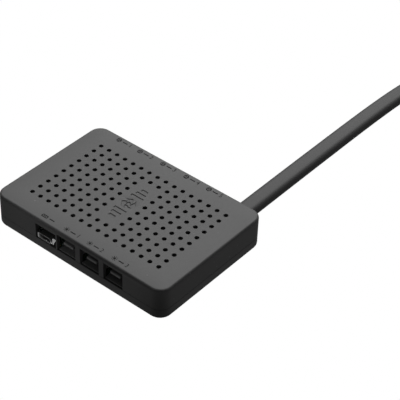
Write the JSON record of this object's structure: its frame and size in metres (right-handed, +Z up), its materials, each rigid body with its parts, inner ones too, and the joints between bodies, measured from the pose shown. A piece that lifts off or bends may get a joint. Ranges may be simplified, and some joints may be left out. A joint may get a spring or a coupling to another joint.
{
  "type": "fan and lighting controller hub",
  "caption": "Low box-shaped hub with a vented lid, rows of pin sockets, a small data port and a captive flat power lead that ends in a plug.",
  "frame": {"origin": "centre of the housing's underside, without the lead, its coil and its plug", "axes": "+X along the housing's long side, with the data port to the left when its face is seen; +Y from the light-socket face to the fan-socket face, where the lead leaves; +Z up"},
  "size_m": [0.105, 0.3812, 0.0164],
  "materials": {
    "lid_plastic": "fine moulded texture, dark grey",
    "tray_plastic": "fine moulded texture, near black",
    "socket_plastic": "smooth moulded nylon, black",
    "cable_jacket": "matt extruded jacket, dark grey",
    "nylon": "satin nylon strap, black",
    "rubber": "matt soft rubber, black",
    "bare_steel": "bright plated sheet steel",
    "black_steel": "black zinc plate",
    "gold_plate": "gold flash over brass",
    "board_lacquer": "dark solder lacquer over glass laminate",
    "chip_resin": "black moulding resin",
    "can_aluminium": "drawn aluminium can",
    "ferrite": "pressed ferrite, dark grey",
    "wire_sleeve": "wire insulation, black"
  },
  "bodies": {
    "root": {"top_cover": "lid_plastic", "bottom_tray": "tray_plastic", "case_screw_1": "black_steel", "case_screw_2": "black_steel", "case_screw_3": "black_steel", "case_screw_4": "black_steel", "circuit_board": "board_lacquer", "fan_socket_1": "socket_plastic", "fan_pins_1": "gold_plate", "fan_socket_2": "socket_plastic", "fan_pins_2": "gold_plate", "fan_socket_3": "socket_plastic", "fan_pins_3": "gold_plate", "fan_socket_4": "socket_plastic", "fan_pins_4": "gold_plate", "fan_socket_5": "socket_plastic", "fan_pins_5": "gold_plate", "light_socket_1": "socket_plastic", "light_pins_1": "gold_plate", "light_socket_2": "socket_plastic", "light_pins_2": "gold_plate", "light_socket_3": "socket_plastic", "light_pins_3": "gold_plate", "data_port_shell": "bare_steel", "data_port_tongue": "socket_plastic", "microcontroller": "chip_resin", "level_shifter": "chip_resin", "data_protector": "chip_resin", "crystal": "bare_steel", "power_regulator": "chip_resin", "power_inductor": "ferrite", "capacitor_1": "can_aluminium", "capacitor_2": "can_aluminium", "fan_driver_1": "chip_resin", "fan_driver_2": "chip_resin", "fan_driver_3": "chip_resin", "fan_driver_4": "chip_resin", "fan_driver_5": "chip_resin", "cable_grommet": "rubber", "strain_tie": "nylon", "cable_stub": "cable_jacket", "power_wire_1": "wire_sleeve", "power_wire_2": "wire_sleeve", "power_wire_3": "wire_sleeve", "power_wire_4": "wire_sleeve", "power_cable": "cable_jacket", "power_cable_coil": "cable_jacket", "power_cable_tail": "cable_jacket", "cable_tie": "nylon", "plug_housing": "socket_plastic", "plug_cover": "socket_plastic", "plug_contacts": "gold_plate"}
  },
  "joints": []
}
